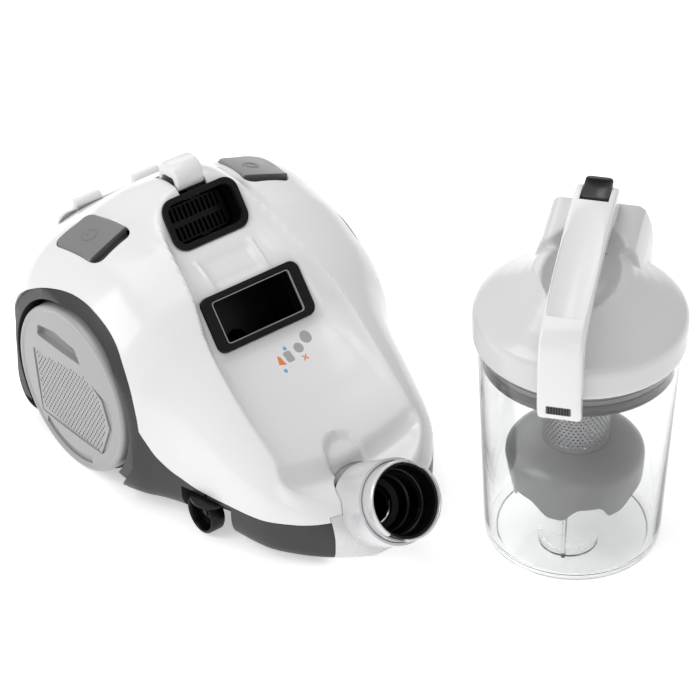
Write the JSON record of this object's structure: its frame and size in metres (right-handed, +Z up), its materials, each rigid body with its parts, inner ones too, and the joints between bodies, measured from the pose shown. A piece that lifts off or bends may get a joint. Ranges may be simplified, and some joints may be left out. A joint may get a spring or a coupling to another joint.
{
  "type": "canister vacuum cleaner",
  "caption": "Canister vacuum cleaner on wheels with hose inlet, foot buttons and motor intake; its clear cyclone dust container stands lifted out beside the nose.",
  "frame": {"origin": "on the floor, under the centre of the bounding box of the cleaner and its container", "axes": "+Z up, the nose with its hose inlet points to -Y, the container stands on the +X side of the nose"},
  "size_m": [0.366, 0.5214, 0.288],
  "materials": {
    "white_shell": "glossy moulded white plastic",
    "dark_base": "satin dark grey moulded plastic",
    "black_plastic": "satin black moulded plastic",
    "rubber_seal": "matt black rubber",
    "tyre": "soft grey-black tyre",
    "light_grey": "light grey moulded plastic",
    "button_grey": "mid grey satin plastic",
    "silver_plastic": "silver lacquered plastic, glossy",
    "steel": "plain steel",
    "clear_plastic": "clear water-white plastic",
    "filter_mesh": "perforated metal mesh",
    "foam": "black filter foam",
    "cyclone_grey": "grey translucent plastic",
    "seal_grey": "grey seal rubber",
    "release_grey": "dark grey satin plastic",
    "circuit_green": "green circuit board"
  },
  "bodies": {
    "root": {"upper_shell": "white_shell", "lower_base": "dark_base", "front_fascia": "silver_plastic", "hose_inlet_collar": "silver_plastic", "hose_socket": "black_plastic", "dirty_air_duct": "black_plastic", "intake_gasket": "rubber_seal", "intake_lip": "light_grey", "motor_intake_box": "black_plastic", "motor_grille": "black_plastic", "motor_filter": "foam", "catch_spring": "steel", "power_button_spring": "steel", "rewind_button_spring": "steel", "power_switch": "black_plastic", "rewind_brake": "light_grey", "right_wheel_axle": "steel", "left_wheel_axle": "steel", "exhaust_filter": "foam", "motor": "steel", "fan_housing": "steel", "motor_mount": "black_plastic", "reel_spring_case": "black_plastic", "reel_bracket": "steel", "cord_outlet": "black_plastic", "control_board": "circuit_green", "base_screw_1": "steel", "base_screw_2": "steel", "base_screw_3": "steel", "base_screw_4": "steel"},
    "right_wheel": {"right_wheel_tyre": "tyre", "right_wheel_disc": "light_grey", "right_wheel_grille": "light_grey"},
    "left_wheel": {"left_wheel_tyre": "tyre", "left_wheel_disc": "light_grey", "left_wheel_grille": "light_grey"},
    "right_caster": {"right_caster_fork": "black_plastic"},
    "right_caster_roller": {"right_caster_wheel": "black_plastic"},
    "left_caster": {"left_caster_fork": "black_plastic"},
    "left_caster_roller": {"left_caster_wheel": "black_plastic"},
    "power_button": {"power_button": "button_grey"},
    "rewind_button": {"rewind_button": "button_grey"},
    "container_catch": {"container_catch": "white_shell"},
    "rear_cover": {"rear_cover": "white_shell"},
    "impeller": {"impeller": "light_grey"},
    "cord_reel": {"cord_reel": "light_grey"},
    "dust_bin": {"dust_bin": "clear_plastic"},
    "bin_lid": {"bin_lid": "white_shell", "lid_clamp_ring": "cyclone_grey", "lid_seal": "seal_grey", "container_handle": "white_shell", "handle_window": "black_plastic", "release_spring": "steel", "cyclone_skirt": "cyclone_grey", "mesh_filter": "filter_mesh", "cyclone_plate": "light_grey", "vortex_tube": "light_grey"},
    "bin_release_button": {"bin_release_button": "release_grey"}
  },
  "joints": [
    {"name": "right_wheel_spin", "type": "hinge", "parent": "root", "child": "right_wheel", "pos_m": [-0.16837, 0.13919, 0.075], "axis": [1, 0, 0], "continuous": true},
    {"name": "left_wheel_spin", "type": "hinge", "parent": "root", "child": "left_wheel", "pos_m": [0.07163, 0.13919, 0.075], "axis": [1, 0, 0], "continuous": true},
    {"name": "right_caster_swivel", "type": "hinge", "parent": "root", "child": "right_caster", "pos_m": [-0.14537, -0.00281, 0.036], "axis": [0, 0, 1], "continuous": true},
    {"name": "right_caster_spin", "type": "hinge", "parent": "right_caster", "child": "right_caster_roller", "pos_m": [-0.14537, 0.00319, 0.017], "axis": [1, 0, 0], "continuous": true},
    {"name": "left_caster_swivel", "type": "hinge", "parent": "root", "child": "left_caster", "pos_m": [0.04863, -0.00281, 0.036], "axis": [0, 0, 1], "continuous": true},
    {"name": "left_caster_spin", "type": "hinge", "parent": "left_caster", "child": "left_caster_roller", "pos_m": [0.04863, 0.00319, 0.017], "axis": [1, 0, 0], "continuous": true},
    {"name": "power_button_press", "type": "slide", "parent": "root", "child": "power_button", "axis": [0.2975, -0.156, -0.9419], "range_m": [0, 0.004], "stiffness_N_per_m": 700, "springref_m": -0.004},
    {"name": "rewind_button_press", "type": "slide", "parent": "root", "child": "rewind_button", "axis": [-0.2975, -0.156, -0.9419], "range_m": [0, 0.004], "stiffness_N_per_m": 700, "springref_m": -0.004},
    {"name": "container_catch_slide", "type": "slide", "parent": "root", "child": "container_catch", "axis": [0, 1, 0], "range_m": [0, 0.003], "stiffness_N_per_m": 500, "springref_m": -0.004},
    {"name": "rear_cover_hinge", "type": "hinge", "parent": "root", "child": "rear_cover", "pos_m": [-0.04837, 0.25269, 0.0555], "axis": [-1, 0, 0], "range_deg": [0, 80]},
    {"name": "impeller_spin", "type": "hinge", "parent": "root", "child": "impeller", "pos_m": [-0.08837, 0.13119, 0.067], "axis": [0, 1, 0], "continuous": true},
    {"name": "cord_reel_spin", "type": "hinge", "parent": "root", "child": "cord_reel", "pos_m": [0.00163, 0.17919, 0.075], "axis": [1, 0, 0], "continuous": true},
    {"name": "container_lift", "type": "slide", "parent": "root", "child": "dust_bin", "axis": [0, 0, 1], "range_m": [0, 0.15]},
    {"name": "bin_lid_lift", "type": "slide", "parent": "dust_bin", "child": "bin_lid", "axis": [0, 0, 1], "range_m": [0, 0.2]},
    {"name": "bin_release_press", "type": "slide", "parent": "bin_lid", "child": "bin_release_button", "axis": [0, 0, -1], "range_m": [0, 0.003], "stiffness_N_per_m": 600, "springref_m": -0.004, "deforming": ["release_spring"]}
  ]
}
